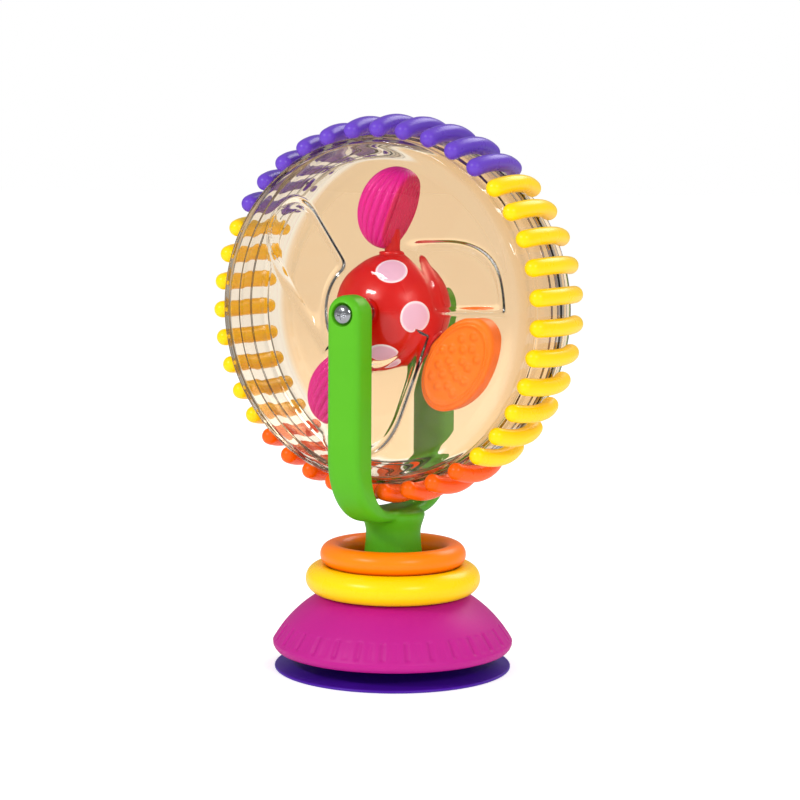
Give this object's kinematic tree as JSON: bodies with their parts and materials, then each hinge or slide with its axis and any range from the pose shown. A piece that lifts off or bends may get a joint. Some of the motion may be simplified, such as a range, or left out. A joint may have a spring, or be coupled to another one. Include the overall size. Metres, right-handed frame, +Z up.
{
  "type": "suction-base spinning wheel toy",
  "caption": "Table-top spinning toy: a clear ribbed drum with a ball and turning petals inside, on a fork above loose rings, a domed base and a suction cup.",
  "frame": {"origin": "middle of the face that stands on the table", "axes": "+Z up; the wheel's axle runs along Y, and the bright front axle screw faces -Y; +X is to the right seen from the front"},
  "size_m": [0.1219, 0.0764, 0.175],
  "materials": {
    "suction_cup": "satin flexible vinyl",
    "magenta_dome": "fine satin",
    "green_fork": "satin",
    "plated_steel": "polished",
    "yellow_plastic": "satin gloss",
    "orange_plastic": "satin gloss",
    "rib_orange": "satin gloss",
    "violet_plastic": "satin gloss",
    "clear_drum": "clear polished plastic with a peach tint",
    "red_plastic": "gloss, printed with pale pink dots",
    "magenta_petal": "satin, moulded ridges",
    "orange_petal": "satin, moulded bumps"
  },
  "bodies": {
    "stand": {"suction_cup": "suction_cup", "base_plate": "suction_cup", "base_dome": "magenta_dome", "fork": "green_fork", "base_washer": "plated_steel", "base_screw": "plated_steel", "axle": "plated_steel", "front_screw": "plated_steel", "rear_screw": "plated_steel", "front_spacer": "red_plastic", "rear_spacer": "red_plastic"},
    "wheel": {"drum_front": "clear_drum", "drum_rear": "clear_drum", "violet_ribs": "violet_plastic", "right_yellow_ribs": "yellow_plastic", "orange_ribs": "rib_orange", "left_yellow_ribs": "yellow_plastic"},
    "spinner": {"ball_front": "red_plastic", "ball_rear": "red_plastic", "ball_sleeve": "red_plastic"},
    "top_petal": {"top_petal": "magenta_petal", "top_petal_pin": "red_plastic"},
    "left_petal": {"left_petal": "magenta_petal", "left_petal_pin": "red_plastic"},
    "right_petal": {"right_petal": "orange_petal", "right_petal_pin": "red_plastic"},
    "yellow_ring": {"yellow_ring": "yellow_plastic"},
    "orange_ring": {"orange_ring": "orange_plastic"}
  },
  "joints": [
    {"name": "wheel_spin", "type": "hinge", "parent": "stand", "child": "wheel", "pos_m": [0, 0, 0.114], "axis": [0, 1, 0], "continuous": true},
    {"name": "ball_spin", "type": "hinge", "parent": "stand", "child": "spinner", "pos_m": [0, 0, 0.114], "axis": [0, 1, 0], "continuous": true},
    {"name": "top_petal_turn", "type": "hinge", "parent": "spinner", "child": "top_petal", "pos_m": [0, 0, 0.114], "axis": [-0.0349, 0, 0.9994], "continuous": true},
    {"name": "left_petal_turn", "type": "hinge", "parent": "spinner", "child": "left_petal", "pos_m": [0, 0, 0.114], "axis": [-0.5878, 0, -0.809], "continuous": true},
    {"name": "right_petal_rock", "type": "hinge", "parent": "spinner", "child": "right_petal", "pos_m": [0, 0, 0.114], "axis": [0.829, 0, -0.5592], "range_deg": [-22, 22]},
    {"name": "yellow_ring_turn", "type": "hinge", "parent": "stand", "child": "yellow_ring", "pos_m": [0, 0, 0.0285], "axis": [0, 0, 1], "continuous": true},
    {"name": "orange_ring_turn", "type": "hinge", "parent": "stand", "child": "orange_ring", "pos_m": [0, 0, 0.0363], "axis": [0, 0, 1], "continuous": true}
  ]
}
